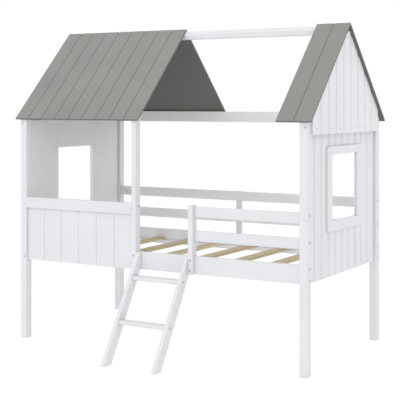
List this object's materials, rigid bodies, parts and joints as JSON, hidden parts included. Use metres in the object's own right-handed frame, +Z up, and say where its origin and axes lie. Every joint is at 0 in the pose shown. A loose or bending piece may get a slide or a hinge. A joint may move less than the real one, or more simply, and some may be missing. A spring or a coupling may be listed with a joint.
{
  "type": "house mid sleeper bed",
  "caption": "White raised children's bed shaped as a house, with a grey pitched roof in two sections, windowed end walls, slatted base, guard rails and a short front ladder.",
  "frame": {"origin": "on the floor, in the middle of the bounding box", "axes": "+X along the bed to the right seen from the front, +Y from the ladder side to the back, +Z up"},
  "size_m": [2.06, 1.486, 1.9678],
  "materials": {
    "paint": "white satin paint",
    "roof_paint": "grey matt paint",
    "pine": "bare planed pine"
  },
  "bodies": {
    "root": {"back_eave_beam": "paint", "back_guard_middle_rail": "paint", "back_guard_upper_rail": "paint", "back_guard_upright": "paint", "front_eave_batten": "paint", "front_guard_lower_rail": "paint", "front_guard_upper_rail": "paint", "front_guard_upright": "paint", "front_panel": "paint", "front_panel_rail": "paint", "ladder_left_stile": "paint", "ladder_right_stile": "paint", "ladder_tread_1": "paint", "ladder_tread_2": "paint", "left_casing_far_stile": "paint", "left_casing_head": "paint", "left_casing_near_stile": "paint", "left_casing_sill": "paint", "left_gable_far_board": "paint", "left_gable_middle_board": "paint", "left_gable_near_board": "paint", "left_roof_back_panel": "roof_paint", "left_roof_front_panel": "roof_paint", "left_tie_rail": "paint", "left_wall_apron": "paint", "left_wall_far_board": "paint", "left_wall_header": "paint", "left_wall_near_board": "paint", "post_back_left": "paint", "post_back_right": "paint", "post_front_left": "paint", "post_front_right": "paint", "ridge_beam": "paint", "right_casing_far_stile": "paint", "right_casing_head": "paint", "right_casing_near_stile": "paint", "right_casing_sill": "paint", "right_gable_far_board": "paint", "right_gable_middle_board": "paint", "right_gable_near_board": "paint", "right_roof_back_panel": "roof_paint", "right_roof_front_panel": "roof_paint", "right_tie_rail": "paint", "right_wall_apron": "paint", "right_wall_far_board": "paint", "right_wall_header": "paint", "right_wall_near_board": "paint", "side_rail_back": "paint", "side_rail_front": "paint", "slat_1": "pine", "slat_2": "pine", "slat_3": "pine", "slat_4": "pine", "slat_5": "pine", "slat_6": "pine", "slat_7": "pine", "slat_8": "pine", "slat_ledger_back": "paint", "slat_ledger_front": "paint", "window_post": "paint"}
  },
  "joints": []
}
